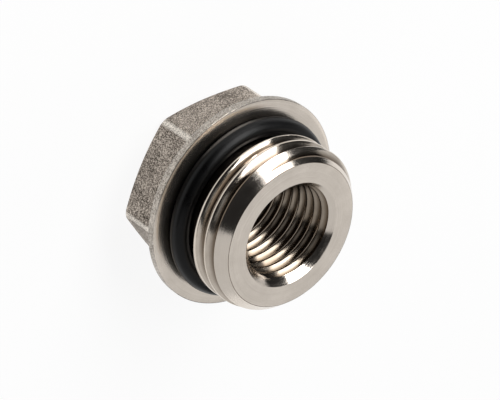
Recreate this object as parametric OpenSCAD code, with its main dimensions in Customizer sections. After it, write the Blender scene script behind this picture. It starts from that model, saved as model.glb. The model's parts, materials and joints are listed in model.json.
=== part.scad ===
// Reducing bushing with a captive seal ring.
// A hexagon head and a round flange, forged in one with the turned male end.
// The seal lies on a neck beside the flange; the female thread runs right through.
// The two threads are left as plain walls: the male one at its outside diameter,
// the female one at its inside diameter. Parallel pipe threads, 55 degree form.

/* [Male thread] */
// Outside diameter of the male thread (G 1/2)
male_d = 20.955; // [19.2:0.001:24]
// Pitch of the male thread
male_pitch = 1.814; // [1:0.001:1.9]
// Length of the male thread, its lead chamfer included
male_length = 4.8; // [3:0.1:14]
// Length of the chamfer that leads into the male thread
lead_length = 1.5; // [0.5:0.1:2.5]
// How far the lead chamfer runs in below the thread's root
lead_under_root = 0.06; // [0:0.01:0.3]
// Width of the broken edge round the end face
edge_break = 0.1; // [0.02:0.01:0.3]

/* [Female thread] */
// Outside diameter of the female thread, at its root (G 1/4)
female_d = 13.157; // [9.728:0.001:14.2]
// Pitch of the female thread
female_pitch = 1.337; // [0.907:0.001:1.6]
// How far the countersinks open past the thread's root
countersink_past_root = 0.05; // [0:0.01:0.3]

/* [Neck and seal] */
// Diameter of the neck that carries the seal
neck_d = 18.1; // [16.5:0.1:18.4]
// Thickness of the seal's round section
seal_section = 2.3; // [1.2:0.1:3]
// Gap that the seal keeps from the neck and from the flange
seal_gap = 0.05; // [0.02:0.01:0.1]
// Free length of neck between the seal and the thread's run-out
seal_room = 0.85; // [0.2:0.05:2]
// Length of the bevel from the neck up to the male thread
runout_length = 0.8; // [0.4:0.1:1.6]

/* [Flange] */
// Diameter of the flange
flange_d = 26.3; // [25:0.1:34]
// Thickness of the flange
flange_thickness = 1.15; // [0.8:0.05:3]
// Rounding of the flange's forged back edge
flange_back_r = 0.35; // [0.1:0.05:0.4]
// Broken edge round the flange's turned front face
flange_front_break = 0.1; // [0.05:0.01:0.25]

/* [Hexagon head] */
// Width across the flats
hex_across_flats = 21; // [19:0.1:21.5]
// Height of the head, from its end face to the back of the flange
hex_height = 6.45; // [4:0.05:15]
// Rounding of the six corners
hex_corner_r = 0.9; // [0.3:0.1:2]
// Diameter of the flat land on the end face
hex_land_d = 20.2; // [16:0.1:21]
// Slope of the chamfer that cuts the corners at the end face
hex_chamfer_angle = 20; // [10:1:35]
// Bevel between the head and the back of the flange
hex_root_bevel = 0.5; // [0.2:0.1:0.8]

/* [Hidden] */
$fn = 128;
over = 0.5;                       // how far a cutter reaches past what it cuts
thread_depth_per_pitch = 0.640327; // 55 degree form, rounded crests and roots

// radii
male_r = male_d / 2;
male_root_r = male_r - thread_depth_per_pitch * male_pitch;
lead_r = male_root_r - lead_under_root;
female_root_r = female_d / 2;
bore_r = female_root_r - thread_depth_per_pitch * female_pitch;
countersink_r = female_root_r + countersink_past_root;
countersink_depth = countersink_r - bore_r;
neck_r = neck_d / 2;
flange_r = flange_d / 2;
seal_ring_r = neck_r + seal_gap + seal_section / 2;

// heights above the end face of the head
flange_front = hex_height + flange_thickness;
seal_z = flange_front + seal_gap + seal_section / 2;
neck_top = flange_front + seal_gap + seal_section + seal_room;
thread_start = neck_top + runout_length;
end_z = thread_start + male_length;

// distance from the axis to the centre of each corner's rounding, which is also
// the length of flat between two roundings
hex_corner_at = (hex_across_flats / 2 - hex_corner_r) / cos(30);

// hexagon with rounded corners, one of them on +X
module rounded_hexagon() {
    polygon([for (k = [0:5], side = [-30, 30])
        hex_corner_at * [cos(60 * k), sin(60 * k)]
            + hex_corner_r * [cos(60 * k + side), sin(60 * k + side)]]);
    for (k = [0:5])
        rotate(60 * k) translate([hex_corner_at, 0]) circle(r = hex_corner_r);
}

// cone that bounds the head's end face and cuts its corners back
module head_chamfer() {
    outer_r = flange_r + over;
    rotate_extrude() polygon([
        [0, 0],
        [hex_land_d / 2, 0],
        [outer_r, (outer_r - hex_land_d / 2) * tan(hex_chamfer_angle)],
        [outer_r, flange_front],
        [0, flange_front]]);
}

// bevel at the head's root: three slabs, each as wide as one pair of flats and
// spreading towards the flange, cut each other to a hexagon that grows in step
module head_root() {
    flat_r = hex_across_flats / 2;
    root_r = flat_r + hex_root_bevel;
    low_z = hex_height - hex_root_bevel - over;
    top_z = hex_height + flange_thickness / 2;
    intersection_for (k = [0:2])
        rotate(60 * k + 30) rotate([90, 0, 0])
            linear_extrude(height = 2 * flange_d, center = true) polygon([
                [over - flat_r, low_z],
                [flat_r - over, low_z],
                [root_r, hex_height],
                [root_r, top_z],
                [-root_r, top_z],
                [-root_r, hex_height]]);
}

module hexagon_head() {
    intersection() {
        linear_extrude(height = hex_height + flange_thickness / 2) rounded_hexagon();
        head_chamfer();
    }
    head_root();
}

// flange, neck and male end, turned as one outline
module turned_end() {
    rotate_extrude() {
        polygon([
            [0, hex_height],
            [flange_r - flange_back_r, hex_height],
            [flange_r - flange_back_r, hex_height + flange_back_r],
            [flange_r, hex_height + flange_back_r],
            [flange_r, flange_front - flange_front_break],
            [flange_r - flange_front_break, flange_front],
            [neck_r, flange_front],
            [neck_r, neck_top],
            [male_r, thread_start],
            [male_r, end_z - lead_length],
            [lead_r, end_z - edge_break],
            [lead_r - edge_break, end_z],
            [0, end_z]]);
        translate([flange_r - flange_back_r, hex_height + flange_back_r])
            circle(r = flange_back_r);
    }
}

// bore at the female thread's crests, countersunk at both ends
module threaded_bore() {
    translate([0, 0, -over]) cylinder(r = bore_r, h = end_z + 2 * over);
    translate([0, 0, -over])
        cylinder(r1 = countersink_r + over, r2 = bore_r, h = countersink_depth + over);
    translate([0, 0, end_z - countersink_depth])
        cylinder(r1 = bore_r, r2 = countersink_r + over, h = countersink_depth + over);
}

module bushing_body() {
    color([0.75, 0.72, 0.68]) difference() {
        union() {
            hexagon_head();
            turned_end();
        }
        threaded_bore();
    }
}

module seal_ring() {
    color([0.09, 0.09, 0.1]) translate([0, 0, seal_z])
        rotate_extrude() translate([seal_ring_r, 0]) circle(d = seal_section);
}

bushing_body();
seal_ring();
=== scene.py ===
import json
import math

import bpy
from mathutils import Matrix, Quaternion, Vector


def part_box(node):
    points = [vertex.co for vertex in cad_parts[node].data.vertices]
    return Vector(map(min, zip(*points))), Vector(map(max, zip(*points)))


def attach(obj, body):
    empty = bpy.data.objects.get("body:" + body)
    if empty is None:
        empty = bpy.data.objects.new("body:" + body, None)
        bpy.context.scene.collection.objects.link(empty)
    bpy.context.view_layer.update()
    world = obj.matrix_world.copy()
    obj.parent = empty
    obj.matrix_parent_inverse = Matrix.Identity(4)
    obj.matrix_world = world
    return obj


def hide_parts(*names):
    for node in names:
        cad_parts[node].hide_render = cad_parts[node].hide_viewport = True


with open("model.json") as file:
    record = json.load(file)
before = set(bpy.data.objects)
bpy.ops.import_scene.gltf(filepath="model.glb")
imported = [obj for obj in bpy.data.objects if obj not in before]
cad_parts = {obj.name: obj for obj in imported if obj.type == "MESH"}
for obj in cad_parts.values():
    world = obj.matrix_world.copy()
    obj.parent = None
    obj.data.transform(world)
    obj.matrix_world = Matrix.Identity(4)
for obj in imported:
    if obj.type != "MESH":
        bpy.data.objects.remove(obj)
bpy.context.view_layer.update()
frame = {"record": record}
mm = 0.001                                    # sizes below are in millimetres
mountList = {mount["name"]: mount for mount in frame["record"]["mounts"]}
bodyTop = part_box("bushing_body")[1] / mm
sealLow, sealHigh = (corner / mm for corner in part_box("seal_ring"))
maleRadius = mountList["male_thread"]["dims"]["r_mm"]
boreRadius = mountList["female_thread"]["dims"]["r_mm"]
flangeRadius = bodyTop.y
endHeight = bodyTop.z
print("frame loaded, the bushing stands", round(endHeight, 2), "mm tall")


# small helpers for node trees
def addNode(tree, kind, sources=None, **settings):
    node = tree.nodes.new(kind)
    for key, value in settings.items():
        setattr(node, key, value)
    for key, source in (sources or {}).items():
        if isinstance(source, bpy.types.NodeSocket):
            tree.links.new(source, node.inputs[key])
        else:
            node.inputs[key].default_value = source
    return node


def calc(tree, operation, *values):
    # one Math node, values are numbers or sockets
    return addNode(tree, "ShaderNodeMath", dict(enumerate(values)), operation=operation).outputs[0]


def offAxis(tree, place):
    # a place's parts, the place flattened onto the floor, and its distance from the axis
    parts = addNode(tree, "ShaderNodeSeparateXYZ", {0: place}).outputs
    flat = addNode(tree, "ShaderNodeCombineXYZ", {0: parts["X"], 1: parts["Y"]}).outputs[0]
    radius = addNode(tree, "ShaderNodeVectorMath", {0: flat}, operation="LENGTH").outputs["Value"]
    return parts, flat, radius


def newTree(name, kind, inputs, outputs):
    # a node group with named sockets
    tree = bpy.data.node_groups.new(name, kind)
    for label, socketKind in inputs:
        tree.interface.new_socket(name=label, in_out="INPUT", socket_type=socketKind)
    for label, socketKind in outputs:
        tree.interface.new_socket(name=label, in_out="OUTPUT", socket_type=socketKind)
    return tree, tree.nodes.new("NodeGroupInput").outputs, tree.nodes.new("NodeGroupOutput").inputs


def useTree(obj, tree, values):
    # adds the tree as a modifier and sets its inputs by their identifiers
    modifier = obj.modifiers.new(tree.name, "NODES")
    modifier.node_group = tree
    for item in tree.interface.items_tree:
        if item.in_out == "INPUT" and item.name in values:
            modifier[item.identifier] = values[item.name]


def bakeModifiers(obj):
    # the evaluated shape becomes the object's own plain mesh
    bpy.context.view_layer.update()
    evaluated = obj.evaluated_get(bpy.context.evaluated_depsgraph_get())
    plainMesh = bpy.data.meshes.new_from_object(evaluated)
    obj.modifiers.clear()
    obj.data = plainMesh
    plainMesh.name = obj.name


# turned shapes: rings of points from the bottom up, with a helical band where a thread goes
def valueAt(value, angle):
    return value(angle) if callable(value) else value


class RingStack:
    def __init__(self, angles):
        self.angles = angles
        self.points = []
        self.faces = []
        self.threaded = []
        self.last = None

    def addPoint(self, angle, radius, height, threaded):
        turn = math.radians(angle)
        self.points.append((radius * math.cos(turn) * mm, radius * math.sin(turn) * mm, height * mm))
        self.threaded.append(threaded)
        return len(self.points) - 1

    def addRing(self, radius, height, threaded=False, join=True):
        # radius and height are numbers, or functions of the angle
        ring = [self.addPoint(a, valueAt(radius, a), valueAt(height, a), threaded) for a in self.angles]
        if self.last and join:
            count = len(ring)
            for j in range(count):
                k = (j + 1) % count
                self.faces.append((self.last[j], self.last[k], ring[k], ring[j]))
        self.last = ring
        return ring

    def addBand(self, radius, topHeight, pitch, crestHeight, phases, snap=0.012):
        # rows climb with the thread, so its crests and roots lie on mesh lines; rows that pass
        # the band's ends end on its first and last ring
        low = self.last
        lowHeight = self.points[low[0]][2] / mm
        high = self.addRing(radius, topHeight, threaded=True, join=False)
        perTurn = len(phases)
        firstRow = perTurn * math.floor((lowHeight - crestHeight) / pitch - 2)
        lastRow = perTurn * math.ceil((topHeight - crestHeight) / pitch + 2)
        found = {}

        def corner(j, row):
            if j == len(self.angles):         # once round is one pitch up
                j, row = 0, row + perTurn
            if (j, row) not in found:
                turns = self.angles[j] / 360 + row // perTurn + phases[row % perTurn]
                height = crestHeight + pitch * turns
                if height < lowHeight + snap:
                    found[j, row] = low[j]
                elif height > topHeight - snap:
                    found[j, row] = high[j]
                else:
                    found[j, row] = self.addPoint(self.angles[j], radius, height, True)
            return found[j, row]

        for j in range(len(self.angles)):
            for row in range(firstRow, lastRow):
                ring = (corner(j, row), corner(j + 1, row), corner(j + 1, row + 1), corner(j, row + 1))
                face = [p for i, p in enumerate(ring) if p != ring[i - 1]]
                if len(set(face)) > 2:
                    self.faces.append(face)
        self.last = high

    def makeObject(self, name, firstRing):
        mesh = bpy.data.meshes.new(name)
        caps = [tuple(reversed(firstRing)), tuple(self.last)]
        mesh.from_pydata(self.points, [], self.faces + caps)
        threaded = mesh.attributes.new("threaded", "BOOLEAN", "POINT")
        threaded.data.foreach_set("value", self.threaded)
        mesh.validate()
        obj = bpy.data.objects.new(name, mesh)
        bpy.context.scene.collection.objects.link(obj)
        return obj


def blendTo(start, end, count):
    return [start + (end - start) * i / count for i in range(1, count + 1)]


# thread form: 55 degrees, rounded at crest and root by the same share of the pitch
threadForm = {"flankAngle": 27.5, "depth": 0.640327, "rounding": 0.137329}


def threadPhases(arcSteps, flankSteps):
    # where the mesh rows of one turn lie, as shares of the pitch from the crest
    flank = math.radians(threadForm["flankAngle"])
    arcEnd = math.pi / 2 - flank
    arc = [threadForm["rounding"] * math.sin(arcEnd * i / arcSteps) for i in range(arcSteps + 1)]
    span = blendTo(arc[-1], 0.5 - arc[-1], flankSteps)[:-1]
    rising = arc + span + [0.5 - share for share in reversed(arc)]
    return rising + [1 - share for share in reversed(rising[1:-1])]


def cutThreadTree():
    # moves the threaded points towards the root of a helical groove
    tree, given, result = newTree(
        "cutThread",
        "GeometryNodeTree",
        [
            ("Blank", "NodeSocketGeometry"),
            ("Pitch", "NodeSocketFloat"),
            ("Crest Radius", "NodeSocketFloat"),
            ("Crest Height", "NodeSocketFloat"),
            ("Inward", "NodeSocketFloat"),
            ("Depth Share", "NodeSocketFloat"),
            ("Fade Start", "NodeSocketFloat"),
            ("Fade Length", "NodeSocketFloat"),
            ("Finish", "NodeSocketMaterial"),
        ],
        [("Threaded", "NodeSocketGeometry")],
    )
    flank = math.radians(threadForm["flankAngle"])
    pitch = given["Pitch"]
    rounding = calc(tree, "MULTIPLY", pitch, threadForm["rounding"])
    depth = calc(tree, "MULTIPLY", pitch, threadForm["depth"])
    arcHalf = calc(tree, "MULTIPLY", rounding, math.cos(flank))
    arcDrop = calc(tree, "MULTIPLY", rounding, 1 - math.sin(flank))
    halfPitch = calc(tree, "MULTIPLY", pitch, 0.5)

    place = addNode(tree, "GeometryNodeInputPosition").outputs[0]
    parts, flat, oldRadius = offAxis(tree, place)
    turns = calc(tree, "DIVIDE", calc(tree, "ARCTAN2", parts["Y"], parts["X"]), 2 * math.pi)
    climbed = calc(tree, "DIVIDE", calc(tree, "SUBTRACT", parts["Z"], given["Crest Height"]), pitch)
    fromCrest = calc(tree, "FRACT", calc(tree, "ADD", calc(tree, "SUBTRACT", climbed, turns), 0.5))
    away = calc(tree, "MULTIPLY", calc(tree, "ABSOLUTE", calc(tree, "SUBTRACT", fromCrest, 0.5)), pitch)

    def arcHeight(distance):
        square = calc(tree, "POWER", distance, 2)
        left = calc(tree, "SUBTRACT", calc(tree, "POWER", rounding, 2), square)
        return calc(tree, "SQRT", calc(tree, "MAXIMUM", left, 0))

    crestDrop = calc(tree, "SUBTRACT", rounding, arcHeight(away))
    slope = calc(tree, "MULTIPLY", calc(tree, "SUBTRACT", away, arcHalf), 1 / math.tan(flank))
    flankDrop = calc(tree, "ADD", arcDrop, slope)
    rootArc = arcHeight(calc(tree, "SUBTRACT", halfPitch, away))
    rootDrop = calc(tree, "ADD", calc(tree, "SUBTRACT", depth, rounding), rootArc)
    onCrest = calc(tree, "LESS_THAN", away, arcHalf)
    onRoot = calc(tree, "GREATER_THAN", away, calc(tree, "SUBTRACT", halfPitch, arcHalf))

    def choose(switch, whenFalse, whenTrue):
        return addNode(tree, "GeometryNodeSwitch", {0: switch, 1: whenFalse, 2: whenTrue},
                       input_type="FLOAT").outputs[0]

    drop = choose(onCrest, choose(onRoot, flankDrop, rootDrop), crestDrop)
    fade = addNode(
        tree,
        "ShaderNodeMapRange",
        {
            "Value": parts["Z"],
            "From Min": given["Fade Start"],
            "From Max": calc(tree, "ADD", given["Fade Start"], given["Fade Length"]),
        },
        interpolation_type="SMOOTHSTEP",
    ).outputs[0]
    cut = calc(tree, "MULTIPLY", calc(tree, "MULTIPLY", drop, fade), given["Inward"])
    cut = calc(tree, "MULTIPLY", cut, given["Depth Share"])
    newRadius = calc(tree, "SUBTRACT", given["Crest Radius"], cut)
    moved = addNode(
        tree,
        "ShaderNodeVectorMath",
        {0: flat, "Scale": calc(tree, "SUBTRACT", calc(tree, "DIVIDE", newRadius, oldRadius), 1)},
        operation="SCALE",
    ).outputs[0]
    chosen = addNode(tree, "GeometryNodeInputNamedAttribute", {"Name": "threaded"}, data_type="BOOLEAN")
    shaped = addNode(
        tree,
        "GeometryNodeSetPosition",
        {"Geometry": given["Blank"], "Selection": chosen.outputs[0], "Offset": moved},
    )
    real = addNode(tree, "GeometryNodeRealizeInstances", {0: shaped.outputs[0]})
    painted = addNode(tree, "GeometryNodeSetMaterial", {0: real.outputs[0], "Material": given["Finish"]})
    tree.links.new(painted.outputs[0], result[0])
    return tree


# the head and flange are forged, everything above them is turned
head = {
    "acrossFlats": 21.0,
    "cornerRadius": 1.5,
    "height": 6.45,
    "landDiameter": 20.2,
    "landRing": 1.0,
    "chamferSlope": 20.0,
    "chamferShares": (0, 0.33, 0.67, 1),
    "rootFillet": 0.5,
    "softEdge": 0.07,
    "flangeThickness": 1.15,
    "backRounding": 0.35,
    "frontBreak": 0.1,
    "edgeShare": 0.3,
    "columnsPerFlat": 36,
    "columnsPerCorner": 8,
    "wallRings": 6,
    "filletRings": 5,
    "edgeRings": 3,
    "faceRings": 6,
}
spigot = {
    "neckDiameter": 18.1,
    "neckFillet": 0.15,
    "runoutLength": 0.8,
    "threadStartBelowEnd": 4.8,
    "leadLength": 1.5,
    "leadRadius": 9.256,
    "edgeBreak": 0.1,
    "edgeRounding": 0.08,
    "softEdge": 0.04,
    "neckRings": 4,
    "shortRings": 3,
    "endFaceRings": 5,
    "leadRings": 7,
}
# a crest passes the given angle at the given depth below the end face; both threads are cut
# shallower than their standard form, as the photo shows them
maleThread = {
    "pitch": 1.814,
    "crestAngle": 72.146,
    "crestBelowEnd": 3.0,
    "fadeLength": 0.8,
    "depthShare": 0.74,
    "arcSteps": 3,
    "flankSteps": 3,
}
femaleThread = {
    "pitch": 1.337,
    "crestAngle": 252.146,
    "crestBelowEnd": 0.45,
    "columns": 216,
    "depthShare": 0.77,
    "arcSteps": 3,
    "flankSteps": 2,
}
countersink = {
    "pastRoot": 0.05,
    "reach": 4.0,
    "rings": 9,
    "softEdge": 0.05,
    "lip": (0.02, 0.003),
    "past": (0.6, 0.5),
}
# what tells the kinds of surface apart, once the shape is cut
sorting = {
    "sharpAngle": 35,
    "cutterAngle": 6,
    "cutterTolerance": 0.004,
    "mergeDistance": 0.0006,
    "levelNormal": 0.999,
    "footNormal": -0.9,
    "footHeight": 0.8,
    "chamferSpread": 0.03,
    "rimBelowFront": 0.02,
    "rimWidth": 0.15,
    "insideRadius": 7.0,
    "tappedBelowEnd": 0.95,
}
cutPast = 1.0                                 # how far the cutters reach past what they cut
hubRadius = 3.0                               # caps of the blanks lie within the bore


def crestHeightOf(thread):
    # the height of the crest at angle 0
    return endHeight - thread["crestBelowEnd"] - thread["pitch"] * thread["crestAngle"] / 360


def cornerSize(rounding):
    # where a corner's rounding is centred, and half the angle that it spans seen from the axis
    cornerAt = (head["acrossFlats"] / 2 - head["cornerRadius"]) / math.cos(math.radians(30))
    reach = rounding * math.cos(math.radians(30))
    return cornerAt, math.degrees(math.atan2(rounding / 2, cornerAt + reach))


def hexagonRadius(grow=0.0):
    # distance from the axis to the rounded hexagon, spread outwards by grow
    rounding = head["cornerRadius"] + grow
    cornerAt, cornerSpan = cornerSize(rounding)

    def radius(angle):
        fromCorner = abs((angle + 30) % 60 - 30)
        if fromCorner > cornerSpan:
            return (head["acrossFlats"] / 2 + grow) / math.cos(math.radians(30 - fromCorner))
        side = math.radians(fromCorner)
        return cornerAt * math.cos(side) + math.sqrt(rounding**2 - (cornerAt * math.sin(side)) ** 2)

    return radius


def bodyAngles():
    _, cornerSpan = cornerSize(head["cornerRadius"])
    angles = []
    for k in range(6):
        angles += [60 * k + a for a in blendTo(-cornerSpan, cornerSpan, head["columnsPerCorner"])]
        angles += [60 * k + a for a in blendTo(cornerSpan, 60 - cornerSpan, head["columnsPerFlat"])]
    return angles


def makeBlank():
    # the whole outside, with the thread's band left plain and the end still too long
    stack = RingStack(bodyAngles())
    hexagon = hexagonRadius()
    soft = head["softEdge"]
    landRadius = head["landDiameter"] / 2
    slope = math.tan(math.radians(head["chamferSlope"]))

    def edgeHeight(angle):
        return (hexagon(angle) - landRadius) * slope

    first = stack.addRing(hubRadius, 0)
    for radius in (landRadius - head["landRing"], landRadius - soft):
        stack.addRing(radius, 0)
    for share in head["chamferShares"]:       # turned chamfer, up to the edge of the flats
        radius = lambda a, s=share: landRadius + soft + (hexagon(a) - landRadius - 2 * soft) * s
        stack.addRing(radius, lambda a, r=radius: (r(a) - landRadius) * slope)
    stack.addRing(lambda a: hexagon(a) - soft / 4, lambda a: edgeHeight(a) + soft / 4)
    stack.addRing(hexagon, lambda a: edgeHeight(a) + soft)
    rootHeight = head["height"] - head["rootFillet"]
    for share in blendTo(0, 1, head["wallRings"]):
        stack.addRing(hexagon, lambda a, s=share: (edgeHeight(a) + soft) * (1 - s) + rootHeight * s)
    for turn in blendTo(0, math.pi / 2, head["filletRings"]):
        grow = head["rootFillet"] * (1 - math.cos(turn))
        stack.addRing(hexagonRadius(grow), rootHeight + head["rootFillet"] * math.sin(turn))

    # back, edge and front of the flange
    spread = hexagonRadius(head["rootFillet"])
    rounding = head["backRounding"]
    flatEdge = flangeRadius - rounding
    stack.addRing(lambda a: (spread(a) + flatEdge) / 2, head["height"])
    stack.addRing(flatEdge, head["height"])
    for turn in blendTo(0, math.pi / 2, head["filletRings"]):
        stack.addRing(flatEdge + rounding * math.sin(turn),
                      head["height"] + rounding * (1 - math.cos(turn)))
    front = head["height"] + head["flangeThickness"]
    edge = head["frontBreak"]
    for height in blendTo(head["height"] + rounding, front - edge, head["edgeRings"]):
        stack.addRing(flangeRadius, height)
    stack.addRing(flangeRadius - edge * head["edgeShare"], front - edge * head["edgeShare"])
    stack.addRing(flangeRadius - edge, front)
    neck = spigot["neckDiameter"] / 2
    fillet = spigot["neckFillet"]
    for radius in blendTo(flangeRadius - edge, neck + fillet, head["faceRings"]):
        stack.addRing(radius, front)

    # neck, run-out bevel and the band for the thread
    for turn in blendTo(0, math.pi / 2, spigot["shortRings"]):
        stack.addRing(neck + fillet * (1 - math.sin(turn)), front + fillet * (1 - math.cos(turn)))
    threadStart = endHeight - spigot["threadStartBelowEnd"]
    neckTop = threadStart - spigot["runoutLength"]
    for height in blendTo(front + fillet, neckTop, spigot["neckRings"]):
        stack.addRing(neck, height)
    rim = spigot["softEdge"]
    rise = (maleRadius - neck) / spigot["runoutLength"]
    for height in blendTo(neckTop, threadStart - rim, spigot["shortRings"]):
        stack.addRing(neck + (height - neckTop) * rise, height)
    stack.addRing(maleRadius - rim / 4, threadStart + rim / 4)
    stack.addRing(maleRadius, threadStart + rim, threaded=True)
    stack.addBand(maleRadius, endHeight + cutPast, maleThread["pitch"], crestHeightOf(maleThread),
                  threadPhases(maleThread["arcSteps"], maleThread["flankSteps"]))
    stack.addRing(hubRadius, endHeight + cutPast)
    return stack.makeObject("bushing", first)


def leadRise():
    # how much the lead chamfer's radius grows per depth
    return (maleRadius - spigot["leadRadius"]) / (spigot["leadLength"] - spigot["edgeBreak"])


def leadTip():
    # radius of the lead chamfer's cone at height 0
    return spigot["leadRadius"] + (endHeight - spigot["edgeBreak"]) * leadRise()


def makeFacingTool():
    # takes off what lies past the end face and outside the lead chamfer
    stack = RingStack(bodyAngles())
    rise = leadRise()
    tip = leadTip() - endHeight * rise            # radius at which the chamfer would meet the face
    bend = math.pi / 2 - math.atan(rise)
    reach = spigot["edgeRounding"] * math.tan(bend / 2)
    depthStart = reach * math.sin(bend)
    first = stack.addRing(hubRadius, endHeight)
    for radius in blendTo(hubRadius, tip - reach, spigot["endFaceRings"]):
        stack.addRing(radius, endHeight)
    inset = spigot["edgeRounding"] * (1 / math.cos(bend / 2) - 1)
    stack.addRing(tip - inset * math.sin(bend / 2), endHeight - inset * math.cos(bend / 2))
    narrow = depthStart + spigot["edgeRounding"] / 2  # keeps the rounding's bend off the chamfer
    chamferDepths = blendTo(narrow, spigot["leadLength"] + cutPast / 2, spigot["leadRings"])
    for depth in [depthStart, narrow] + chamferDepths:
        stack.addRing(tip + depth * rise, endHeight - depth)
    outer = stack.points[stack.last[0]]
    stack.addRing(math.hypot(outer[0], outer[1]) / mm, endHeight + 2 * cutPast)
    stack.addRing(hubRadius, endHeight + 2 * cutPast)
    return stack.makeObject("facingTool", first)


def boreAngles():
    count = femaleThread["columns"]
    return [360 * j / count for j in range(count)]


def makeTap():
    # the bore as a solid, a little longer than the bushing
    stack = RingStack(boreAngles())
    first = stack.addRing(hubRadius, -cutPast)
    stack.addRing(boreRadius, -cutPast, threaded=True)
    stack.addBand(boreRadius, endHeight + cutPast, femaleThread["pitch"], crestHeightOf(femaleThread),
                  threadPhases(femaleThread["arcSteps"], femaleThread["flankSteps"]))
    stack.addRing(hubRadius, endHeight + cutPast)
    return stack.makeObject("tap", first)


def mouthRadius():
    # where the countersinks meet the end faces
    return boreRadius + threadForm["depth"] * femaleThread["pitch"] + countersink["pastRoot"]


def makeCountersink(name, faceHeight, outwards):
    # outwards is 1 at the top face and -1 at the bottom one
    stack = RingStack(boreAngles())
    mouth = mouthRadius()
    tip = mouth - countersink["reach"]
    rings = [(radius, faceHeight - outwards * (mouth - radius))
             for radius in [tip] + blendTo(tip, mouth - countersink["softEdge"], countersink["rings"])]
    rings += [(mouth + wider, faceHeight + outwards * higher)
              for wider, higher in (countersink["lip"], countersink["past"])]
    first = None
    for radius, height in rings if outwards > 0 else reversed(rings):
        ring = stack.addRing(radius, height)
        first = first or ring
    return stack.makeObject(name, first)


def onCutter(tree, height, radius):
    # 1 where a point lies on the lead chamfer or on a countersink, which meet the threads crisply
    mouth = mouthRadius()
    away = 1.0
    for rise, tip in ((leadRise(), leadTip()), (-1, mouth - endHeight), (1, mouth)):
        cone = calc(tree, "SUBTRACT", tip * mm, calc(tree, "MULTIPLY", height, rise))
        away = calc(tree, "MINIMUM", away, calc(tree, "ABSOLUTE", calc(tree, "SUBTRACT", radius, cone)))
    near = calc(tree, "LESS_THAN", away, sorting["cutterTolerance"] * mm)
    belowEdge = calc(tree, "LESS_THAN", height, (endHeight - spigot["edgeBreak"]) * mm)
    return calc(tree, "MULTIPLY", near, belowEdge)


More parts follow.
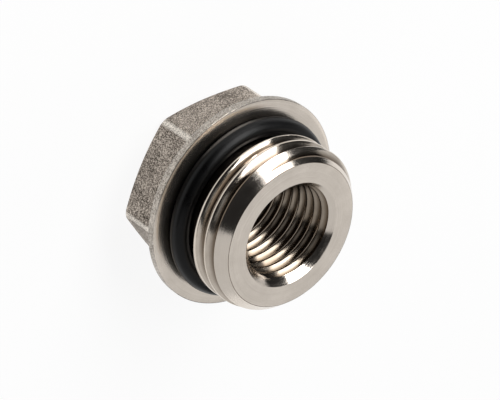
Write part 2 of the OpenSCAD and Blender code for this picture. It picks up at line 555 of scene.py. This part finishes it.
def bushingTree():
    # takes the tools' shapes away from the blank, then gives each kind of surface its finish
    tools = ["Tap", "Facing Tool", "Top Countersink", "Bottom Countersink"]
    tree, given, result = newTree(
        "turnBushing",
        "GeometryNodeTree",
        [("Blank", "NodeSocketGeometry")]
        + [(tool, "NodeSocketObject") for tool in tools]
        + [
            ("Sharp Angle", "NodeSocketFloat"),
            ("Rim Height", "NodeSocketFloat"),
            ("Rim Radius", "NodeSocketFloat"),
            ("Inside Radius", "NodeSocketFloat"),
            ("Tapped Height", "NodeSocketFloat"),
            ("Thread Start", "NodeSocketFloat"),
            ("Chamfer Level", "NodeSocketFloat"),
            ("Bright Finish", "NodeSocketMaterial"),
            ("Thread Finish", "NodeSocketMaterial"),
            ("Tapped Finish", "NodeSocketMaterial"),
            ("Forged Finish", "NodeSocketMaterial"),
            ("Rim Finish", "NodeSocketMaterial"),
            ("Faced Finish", "NodeSocketMaterial"),
        ],
        [("Bushing", "NodeSocketGeometry")],
    )
    cut = addNode(tree, "GeometryNodeMeshBoolean", operation="DIFFERENCE", solver="MANIFOLD")
    tree.links.new(given["Blank"], cut.inputs["Mesh 1"])
    for tool in tools:
        shape = addNode(tree, "GeometryNodeObjectInfo", {"Object": given[tool]})
        tree.links.new(shape.outputs["Geometry"], cut.inputs["Mesh 2"])
    merged = addNode(tree, "GeometryNodeMergeByDistance",
                     {0: cut.outputs["Mesh"], "Distance": sorting["mergeDistance"] * mm})

    place = addNode(tree, "GeometryNodeInputPosition").outputs[0]
    parts, _, radius = offAxis(tree, place)
    height = parts["Z"]
    bend = addNode(tree, "GeometryNodeInputMeshEdgeAngle").outputs[0]
    steep = calc(tree, "GREATER_THAN", bend, given["Sharp Angle"])
    slight = calc(tree, "GREATER_THAN", bend, math.radians(sorting["cutterAngle"]))
    slightOnCutter = calc(tree, "MULTIPLY", slight, onCutter(tree, height, radius))
    crisp = calc(tree, "MAXIMUM", steep, slightOnCutter)
    smooth = addNode(tree, "GeometryNodeSetShadeSmooth", {0: merged.outputs[0], "Shade Smooth": True},
                     domain="FACE")
    edged = addNode(tree, "GeometryNodeSetShadeSmooth",
                    {0: smooth.outputs[0], "Selection": crisp, "Shade Smooth": False}, domain="EDGE")
    real = addNode(tree, "GeometryNodeRealizeInstances", {0: edged.outputs[0]})

    facing = addNode(tree, "GeometryNodeInputNormal").outputs[0]
    normal = addNode(tree, "ShaderNodeSeparateXYZ", {0: facing}).outputs["Z"]
    level = calc(tree, "GREATER_THAN", calc(tree, "ABSOLUTE", normal), sorting["levelNormal"])
    low = calc(tree, "LESS_THAN", height, given["Rim Height"])
    outside = calc(tree, "GREATER_THAN", radius, given["Inside Radius"])
    forged = calc(tree, "MULTIPLY", low, outside)
    backward = calc(tree, "LESS_THAN", normal, sorting["footNormal"])
    nearFoot = calc(tree, "LESS_THAN", height, sorting["footHeight"] * mm)
    atFoot = calc(tree, "MULTIPLY", backward, nearFoot)
    upward = calc(tree, "MULTIPLY", level, calc(tree, "GREATER_THAN", normal, 0))
    faced = calc(tree, "MAXIMUM", upward, atFoot)
    inside = calc(tree, "SUBTRACT", 1, outside)
    deep = calc(tree, "LESS_THAN", height, given["Tapped Height"])
    tapped = calc(tree, "MULTIPLY", inside, deep)
    offChamfer = calc(tree, "ABSOLUTE", calc(tree, "SUBTRACT", normal, given["Chamfer Level"]))
    onThread = calc(tree, "GREATER_THAN", height, given["Thread Start"])
    notChamfer = calc(tree, "GREATER_THAN", offChamfer, sorting["chamferSpread"])
    onThread = calc(tree, "MULTIPLY", onThread, notChamfer)
    onThread = calc(tree, "MULTIPLY", onThread, calc(tree, "SUBTRACT", outside, level))
    onThread = calc(tree, "MAXIMUM", onThread, 0)
    rim = calc(tree, "MULTIPLY", low, calc(tree, "GREATER_THAN", radius, given["Rim Radius"]))
    painted = real
    for finish, chosen in (
        ("Bright Finish", True),
        ("Thread Finish", onThread),
        ("Tapped Finish", tapped),
        ("Forged Finish", forged),
        ("Rim Finish", rim),
        ("Faced Finish", faced),
    ):
        painted = addNode(tree, "GeometryNodeSetMaterial",
                          {0: painted.outputs[0], "Selection": chosen, "Material": given[finish]})
    tree.links.new(painted.outputs[0], result[0])
    return tree


def makeBushing(finishes):
    blank = makeBlank()
    facingTool = makeFacingTool()
    tap = makeTap()
    topSink = makeCountersink("topCountersink", endHeight, 1)
    bottomSink = makeCountersink("bottomCountersink", 0, -1)
    cutThread = cutThreadTree()
    fadeStart = endHeight - spigot["threadStartBelowEnd"]
    for obj, thread, radius, inward, start, length in (
        (blank, maleThread, maleRadius, 1.0, fadeStart, maleThread["fadeLength"]),
        (tap, femaleThread, boreRadius, -1.0, -3 * cutPast, cutPast),
    ):
        useTree(
            obj,
            cutThread,
            {
                "Pitch": thread["pitch"] * mm,
                "Crest Radius": radius * mm,
                "Crest Height": crestHeightOf(thread) * mm,
                "Inward": inward,
                "Depth Share": thread["depthShare"],
                "Fade Start": start * mm,
                "Fade Length": length * mm,
                "Finish": finishes["Bright Finish"],
            },
        )
        bakeModifiers(obj)
    tools = {
        "Tap": tap,
        "Facing Tool": facingTool,
        "Top Countersink": topSink,
        "Bottom Countersink": bottomSink,
    }
    flangeFront = head["height"] + head["flangeThickness"]
    values = {
        "Sharp Angle": math.radians(sorting["sharpAngle"]),
        "Rim Height": (flangeFront - sorting["rimBelowFront"]) * mm,
        "Rim Radius": (flangeRadius - sorting["rimWidth"]) * mm,
        "Inside Radius": sorting["insideRadius"] * mm,
        "Tapped Height": (endHeight - sorting["tappedBelowEnd"]) * mm,
        "Thread Start": fadeStart * mm,
        "Chamfer Level": math.sin(math.atan(leadRise())),
    }
    useTree(blank, bushingTree(), {**tools, **values, **finishes})
    weighted = blank.modifiers.new("weightedNormals", "WEIGHTED_NORMAL")
    weighted.keep_sharp = True
    bakeModifiers(blank)
    for tool in tools.values():
        bpy.data.objects.remove(tool)
    return blank


seal = {"columns": 192, "sectionSteps": 56, "flashWidth": 0.1, "flashHeight": 0.025}


def makeSeal():
    # round section, with the fine line that the mould leaves inside and outside
    angles = [360 * j / seal["columns"] for j in range(seal["columns"])]
    section = (sealHigh.z - sealLow.z) / 2
    middle = (sealHigh.z + sealLow.z) / 2
    centre = sealHigh.x - section
    stack = RingStack(angles)
    first = None
    for i in range(seal["sectionSteps"]):
        turn = 2 * math.pi * i / seal["sectionSteps"] - math.pi / 2
        height = section * math.sin(turn)
        flash = seal["flashHeight"] * math.exp(-((height / seal["flashWidth"]) ** 2))
        radius = (section - seal["flashHeight"] + flash) * math.cos(turn)
        ring = stack.addRing(centre + radius, middle + height)
        first = first or ring
    count = len(first)
    closing = [(stack.last[j], stack.last[(j + 1) % count], first[(j + 1) % count], first[j])
               for j in range(count)]
    mesh = bpy.data.meshes.new("sealRing")
    mesh.from_pydata(stack.points, [], stack.faces + closing)
    mesh.polygons.foreach_set("use_smooth", [True] * len(mesh.polygons))
    obj = bpy.data.objects.new("sealRing", mesh)
    bpy.context.scene.collection.objects.link(obj)
    return obj


# shader groups that the finishes share
def objectPlace(tree):
    # the place in the frame, in metres
    return addNode(tree, "ShaderNodeTexCoord").outputs["Object"]


def stretch(tree, value, low, high, start=0.0, stop=1.0):
    # spreads low..high over start..stop
    sources = {"Value": value, "From Min": low, "From Max": high, "To Min": start, "To Max": stop}
    return addNode(tree, "ShaderNodeMapRange", sources).outputs[0]


def blendColours(tree, mask, first, second):
    mix = addNode(tree, "ShaderNodeMix", {0: mask}, data_type="RGBA")
    mix.inputs[6].default_value = (*first, 1)
    mix.inputs[7].default_value = (*second, 1)
    return mix.outputs[2]


noiseSpread = (0.3, 0.7)                      # nearly all of a noise texture lies between these
# the blasted grain: pits are cells, wider than the peaks by the inverse of the share
grainMix = {
    "peakDetail": 2,
    "peakRoughness": 0.6,
    "peakSpread": (0.32, 0.68),
    "cellShare": 0.7,
    "pitSpread": (0.1, 0.75),
}


def mottleGroup():
    # slow cloudy change over a surface
    tree, given, result = newTree(
        "cloudyMottle",
        "ShaderNodeTree",
        [("Size", "NodeSocketFloat"), ("Detail", "NodeSocketFloat")],
        [("Mask", "NodeSocketFloat")],
    )
    scale = calc(tree, "DIVIDE", 1, given["Size"])
    sources = {"Vector": objectPlace(tree), "Scale": scale, "Detail": given["Detail"]}
    clouds = addNode(tree, "ShaderNodeTexNoise", sources).outputs[0]
    tree.links.new(stretch(tree, clouds, *noiseSpread), result["Mask"])
    return tree


def turningGroup():
    # fine lines that run round the axis, as a lathe tool leaves them, in patches
    tree, given, result = newTree(
        "turningMarks",
        "ShaderNodeTree",
        [("Line Width", "NodeSocketFloat"), ("Wander", "NodeSocketFloat")],
        [("Lines", "NodeSocketFloat"), ("Bands", "NodeSocketFloat")],
    )
    parts, flat, radius = offAxis(tree, objectPlace(tree))
    around = addNode(tree, "ShaderNodeVectorMath", {0: flat}, operation="NORMALIZE").outputs[0]
    wandered = addNode(tree, "ShaderNodeVectorMath", {0: around, "Scale": given["Wander"]},
                       operation="SCALE").outputs[0]
    turned = addNode(tree, "ShaderNodeSeparateXYZ", {0: wandered}).outputs
    for label, wider, detail in (("Lines", 1, 3), ("Bands", 7, 1)):
        width = calc(tree, "MULTIPLY", given["Line Width"], wider)
        height = calc(tree, "DIVIDE", parts["Z"], width)
        lined = addNode(tree, "ShaderNodeCombineXYZ", {0: turned["X"], 1: turned["Y"], 2: height})
        sources = {
            "Vector": lined.outputs[0],
            "W": calc(tree, "DIVIDE", radius, width),
            "Scale": 1,
            "Detail": detail,
        }
        lines = addNode(tree, "ShaderNodeTexNoise", sources, noise_dimensions="4D").outputs[0]
        tree.links.new(stretch(tree, lines, *noiseSpread), result[label])
    return tree


def grainGroup():
    # fine pits and peaks of a blasted forging
    tree, given, result = newTree(
        "blastedGrain",
        "ShaderNodeTree",
        [("Size", "NodeSocketFloat")],
        [("Peaks", "NodeSocketFloat"), ("Pits", "NodeSocketFloat")],
    )
    place = objectPlace(tree)
    scale = calc(tree, "DIVIDE", 1, given["Size"])
    sources = {
        "Vector": place,
        "Scale": scale,
        "Detail": grainMix["peakDetail"],
        "Roughness": grainMix["peakRoughness"],
    }
    peaks = addNode(tree, "ShaderNodeTexNoise", sources).outputs[0]
    cellScale = calc(tree, "MULTIPLY", scale, grainMix["cellShare"])
    sources = {"Vector": place, "Scale": cellScale, "Randomness": 1}
    pits = addNode(tree, "ShaderNodeTexVoronoi", sources).outputs["Distance"]
    tree.links.new(stretch(tree, peaks, *grainMix["peakSpread"]), result["Peaks"])
    tree.links.new(stretch(tree, pits, *grainMix["pitSpread"]), result["Pits"])
    return tree


def reachGroup():
    # how far a place lies from one distance to another off the axis
    tree, given, result = newTree(
        "axisReach",
        "ShaderNodeTree",
        [("From", "NodeSocketFloat"), ("To", "NodeSocketFloat")],
        [("Mask", "NodeSocketFloat")],
    )
    radius = offAxis(tree, objectPlace(tree))[2]
    tree.links.new(stretch(tree, radius, given["From"], given["To"]), result["Mask"])
    return tree


mottle = mottleGroup()
turning = turningGroup()
grain = grainGroup()
axisReach = reachGroup()


def newMaterial(name):
    material = bpy.data.materials.new(name)
    material.use_nodes = True
    tree = material.node_tree
    return material, tree, tree.nodes["Principled BSDF"].inputs


def useGroup(tree, group, values):
    return addNode(tree, "ShaderNodeGroup", values, node_tree=group).outputs


def cloudsOf(look):
    return {"Size": look["cloudSize"] * mm, "Detail": look["cloudDetail"]}


def addBump(tree, shader, height, depth):
    sources = {"Height": height, "Distance": depth * mm, "Strength": 1}
    tree.links.new(addNode(tree, "ShaderNodeBump", sources).outputs[0], shader["Normal"])


# plated and turned: bright on the outer thread and chamfers, satin on the faces
turnedWear = {"cloudSize": 2.5, "cloudDetail": 3, "cloudShare": 0.6, "wander": 0.8}
brightNickel = {
    "tones": ((0.70, 0.63, 0.555), (0.77, 0.70, 0.625)),
    "roughness": (0.09, 0.22),
    "lineWidth": 0.08,
    "lineDepth": 0.005,
}
facedNickel = {
    "tones": ((0.66, 0.595, 0.525), (0.81, 0.735, 0.655)),
    "roughness": (0.20, 0.28),
    "lineWidth": 0.12,
    "lineDepth": 0.005,
}
threadNickel = {
    "tones": ((0.52, 0.455, 0.385), (0.74, 0.665, 0.585)),
    "roughness": (0.08, 0.20),
    "lineWidth": 0.06,
    "lineDepth": 0.003,
    # painted shade, darker towards the thread's root
    "grooveShadeTone": (0.20, 0.155, 0.115),
    "grooveShadeFrom": 10.2,
    "grooveShadeTo": 9.75,
}
# darker than the outer thread: painted shade inside the bore, partly thinner plating there
tappedNickel = {
    "tones": ((0.20, 0.158, 0.12), (0.41, 0.355, 0.295)),
    "roughness": (0.12, 0.24),
    "lineWidth": 0.06,
    "lineDepth": 0.002,
    # painted shade, darker towards the thread's root
    "grooveShadeTone": (0.115, 0.082, 0.053),
    "grooveShadeFrom": 5.95,
    "grooveShadeTo": 6.3,
}
# plated as forged, with the blasted grain lighter at the hex corners and the rim's edge: painted
# highlight, partly rubbed wear
forgedMottleAndHighlight = {"cloudSize": 2.5, "cloudDetail": 1, "cloudShare": 0.14, "highlightByGrain": (0.4, 0.9)}
forgedNickel = {
    "tones": ((0.06, 0.047, 0.036), (0.77, 0.68, 0.59)),
    "roughness": (0.44, 0.64),
    "grainSize": 0.11,
    "grainSpread": (0.33, 0.90),
    "grainDepth": 0.045,
    "edgeHighlightTone": (0.97, 0.91, 0.83),
    "edgeHighlightFrom": 11.82,
    "edgeHighlightTo": 11.89,
}
rimNickel = {
    "tones": ((0.11, 0.092, 0.076), (0.74, 0.675, 0.60)),
    "roughness": (0.26, 0.42),
    "grainSize": 0.12,
    "grainSpread": (0.28, 0.9),
    "grainDepth": 0.03,
    "edgeHighlightTone": (0.80, 0.74, 0.66),
    "edgeHighlightFrom": 13.1,
    "edgeHighlightTo": 13.5,
}


def tintFurther(tree, colour, tone, start, stop, strength=1.0):
    # takes on the tone from one distance off the axis to another
    mask = useGroup(tree, axisReach, {"From": start * mm, "To": stop * mm})["Mask"]
    tinted = addNode(tree, "ShaderNodeMix", {0: calc(tree, "MULTIPLY", mask, strength)}, data_type="RGBA")
    tree.links.new(colour, tinted.inputs[6])
    tinted.inputs[7].default_value = (*tone, 1)
    return tinted.outputs[2]


def shareOut(tree, first, second, secondShare):
    # two masks added up by their shares
    kept = calc(tree, "MULTIPLY", first, 1 - secondShare)
    return calc(tree, "ADD", kept, calc(tree, "MULTIPLY", second, secondShare))


def turnedFinish(name, look):
    material, tree, shader = newMaterial(name)
    lineValues = {"Line Width": look["lineWidth"] * mm, "Wander": turnedWear["wander"]}
    marks = useGroup(tree, turning, lineValues)
    clouds = useGroup(tree, mottle, cloudsOf(turnedWear))
    shade = shareOut(tree, marks["Lines"], clouds["Mask"], turnedWear["cloudShare"])
    colour = blendColours(tree, shade, *look["tones"])
    if "grooveShadeTone" in look:                    # painted shade: the tone darkens down in the thread grooves
        colour = tintFurther(tree, colour, look["grooveShadeTone"], look["grooveShadeFrom"], look["grooveShadeTo"])
    tree.links.new(colour, shader["Base Color"])
    worn = shareOut(tree, marks["Bands"], clouds["Mask"], 0.5)
    tree.links.new(stretch(tree, worn, 0, 1, *look["roughness"]), shader["Roughness"])
    shader["Metallic"].default_value = 1
    addBump(tree, shader, marks["Lines"], look["lineDepth"])
    return material


def forgedFinish(name, look):
    material, tree, shader = newMaterial(name)
    pitted = useGroup(tree, grain, {"Size": look["grainSize"] * mm})
    clouds = useGroup(tree, mottle, cloudsOf(forgedMottleAndHighlight))
    speckle = shareOut(tree, pitted["Peaks"], pitted["Pits"], 0.5)
    shade = shareOut(tree, speckle, clouds["Mask"], forgedMottleAndHighlight["cloudShare"])
    shade = stretch(tree, shade, *look["grainSpread"])
    colour = blendColours(tree, shade, *look["tones"])
    # painted highlight at the hex corners and the rim's edge, speckled by the grain
    highlightByGrain = stretch(tree, shade, 0, 0.5, *forgedMottleAndHighlight["highlightByGrain"])
    colour = tintFurther(tree, colour, look["edgeHighlightTone"], look["edgeHighlightFrom"], look["edgeHighlightTo"], highlightByGrain)
    tree.links.new(colour, shader["Base Color"])
    tree.links.new(stretch(tree, shade, 0, 1, *reversed(look["roughness"])), shader["Roughness"])
    shader["Metallic"].default_value = 1
    addBump(tree, shader, speckle, look["grainDepth"])
    return material


finishes = {
    "Bright Finish": turnedFinish("brightNickel", brightNickel),
    "Thread Finish": turnedFinish("threadNickel", threadNickel),
    "Tapped Finish": turnedFinish("tappedNickel", tappedNickel),
    "Forged Finish": forgedFinish("forgedNickel", forgedNickel),
    "Rim Finish": forgedFinish("rimNickel", rimNickel),
    "Faced Finish": turnedFinish("facedNickel", facedNickel),
}
print(len(finishes), "nickel finishes mixed")

bushing = makeBushing(finishes)
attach(bushing, "root")
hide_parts("bushing_body")
bushing.data.calc_loop_triangles()
print("bushing made,", len(bushing.data.loop_triangles), "triangles")

sealRubber = {
    "tones": ((0.0015, 0.0015, 0.0016), (0.003, 0.003, 0.0033)),
    "cloudSize": 3.0,
    "cloudDetail": 3,
    "roughness": (0.26, 0.38),
    "shine": 0.2,
    "grainSize": 0.12,
    "grainDepth": 0.002,
}


def rubberFinish(name, look):
    material, tree, shader = newMaterial(name)
    pitted = useGroup(tree, grain, {"Size": look["grainSize"] * mm})
    clouds = useGroup(tree, mottle, cloudsOf(look))
    tree.links.new(blendColours(tree, clouds["Mask"], *look["tones"]), shader["Base Color"])
    tree.links.new(stretch(tree, clouds["Mask"], 0, 1, *look["roughness"]), shader["Roughness"])
    shader["Specular IOR Level"].default_value = look["shine"]
    addBump(tree, shader, pitted["Peaks"], look["grainDepth"])
    return material


sealRing = makeSeal()
sealRing.data.materials.append(rubberFinish("sealRubber", sealRubber))
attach(sealRing, "root")
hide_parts("seal_ring")
print("seal ring made")

# fitted to the photograph; place in millimetres, right and up as the picture has them
camera = {
    "lens": 241.66,
    "sensorWidth": 36,
    "clipStart": 10,
    "place": (90.82, 279.78, 263.26),
    "right": (0.3718, -0.6877, 0.6235),
    "up": (0.8989, 0.0991, -0.4267),
}


def addCamera():
    right = Vector(camera["right"]).normalized()
    back = right.cross(Vector(camera["up"])).normalized()
    up = back.cross(right)
    data = bpy.data.cameras.new("camera")
    data.lens = camera["lens"]
    data.sensor_width = camera["sensorWidth"]
    data.clip_start = camera["clipStart"] * mm
    obj = bpy.data.objects.new("camera", data)
    bpy.context.scene.collection.objects.link(obj)
    turned = Matrix((right, up, back)).transposed().to_4x4()
    obj.matrix_world = Matrix.Translation(Vector(camera["place"]) * mm) @ turned
    bpy.context.scene.camera = obj


addCamera()
print("camera set")

# a lamp's level is the radiance of its face; azimuth, elevation and roll are in degrees, its
# distance and size in metres
lampAim = (0, 0, 0.01)
lamps = [
    {"name": "keyLamp", "shape": "RECTANGLE", "azimuth": 1.6, "elevation": 48.5, "away": 0.5,
     "size": (0.31, 0.46), "roll": 20, "level": 5.4},
    {"name": "fillLamp", "shape": "RECTANGLE", "azimuth": 172, "elevation": 27, "away": 0.4,
     "size": (0.72, 0.63), "roll": 22, "level": 0.64},
    {"name": "faceLamp", "shape": "ELLIPSE", "azimuth": 252, "elevation": 43, "away": 0.6,
     "size": (0.52, 0.56), "roll": 0, "level": 0.7},
    {"name": "sideLamp", "shape": "RECTANGLE", "azimuth": -75, "elevation": 18, "away": 0.5,
     "size": (0.34, 0.32), "roll": 0, "level": 0.6},
    {"name": "topLamp", "shape": "RECTANGLE", "azimuth": 98, "elevation": 70, "away": 0.6,
     "size": (0.22, 0.16), "roll": 0, "level": 0.25},
    {"name": "lowLamp", "shape": "RECTANGLE", "azimuth": 12, "elevation": 7, "away": 0.5,
     "size": (0.40, 0.11), "roll": 0, "level": 3.4},
]


def addLamps():
    for lamp in lamps:
        turn = math.radians(lamp["azimuth"])
        lift = math.radians(lamp["elevation"])
        across = math.cos(lift)
        towards = Vector((across * math.cos(turn), across * math.sin(turn), math.sin(lift)))
        data = bpy.data.lights.new(lamp["name"], "AREA")
        data.shape = lamp["shape"]
        data.size, data.size_y = lamp["size"]
        filled = math.pi / 4 if lamp["shape"] == "ELLIPSE" else 1
        data.energy = lamp["level"] * math.pi * filled * data.size * data.size_y
        obj = bpy.data.objects.new(lamp["name"], data)
        obj.location = Vector(lampAim) + towards * lamp["away"]
        rolled = Quaternion((0, 0, 1), math.radians(lamp["roll"]))
        obj.rotation_euler = (towards.to_track_quat("Z", "Y") @ rolled).to_euler()
        obj.visible_camera = False            # no view shows a lamp itself
        bpy.context.scene.collection.objects.link(obj)


addLamps()
print(len(lamps), "lamps hung")

stage = {
    "halfSize": 1.5,
    "floorHeight": -0.01,
    "tones": ((0.93, 0.93, 0.93), (0.97, 0.97, 0.97)),
    "cloudSize": 60,
    "cloudDetail": 2,
    "roughness": 0.9,
    "lift": 0.9,
    "surroundings": (0.02, 0.02, 0.02),
}


def addStage():
    # the floor turns white where it is seen or mirrored, and keeps a soft shadow
    material, tree, shader = newMaterial("paleFloor")
    clouds = useGroup(tree, mottle, cloudsOf(stage))
    tree.links.new(blendColours(tree, clouds["Mask"], *stage["tones"]), shader["Base Color"])
    shader["Roughness"].default_value = stage["roughness"]
    shader["Specular IOR Level"].default_value = 0
    rays = addNode(tree, "ShaderNodeLightPath").outputs
    seen = calc(tree, "MAXIMUM", rays["Is Camera Ray"], rays["Is Glossy Ray"])
    seen = calc(tree, "MAXIMUM", seen, rays["Is Transmission Ray"])
    glow = addNode(tree, "ShaderNodeEmission", {"Color": (1, 1, 1, 1), "Strength": 1})
    lifted = addNode(tree, "ShaderNodeMixShader", {0: calc(tree, "MULTIPLY", seen, stage["lift"])})
    tree.links.new(tree.nodes["Principled BSDF"].outputs[0], lifted.inputs[1])
    tree.links.new(glow.outputs[0], lifted.inputs[2])
    tree.links.new(lifted.outputs[0], tree.nodes["Material Output"].inputs["Surface"])

    size = stage["halfSize"]
    level = stage["floorHeight"] * mm
    corners = [(-size, -size, level), (size, -size, level), (size, size, level), (-size, size, level)]
    mesh = bpy.data.meshes.new("floor")
    mesh.from_pydata(corners, [], [(0, 1, 2, 3)])
    floor = bpy.data.objects.new("floor", mesh)
    bpy.context.scene.collection.objects.link(floor)
    mesh.materials.append(material)

    world = bpy.data.worlds.new("studio")
    bpy.context.scene.world = world
    world.use_nodes = True
    world.node_tree.nodes["Background"].inputs["Color"].default_value = (*stage["surroundings"], 1)


addStage()
bpy.context.scene.view_settings.view_transform = "Standard"
print("floor laid")
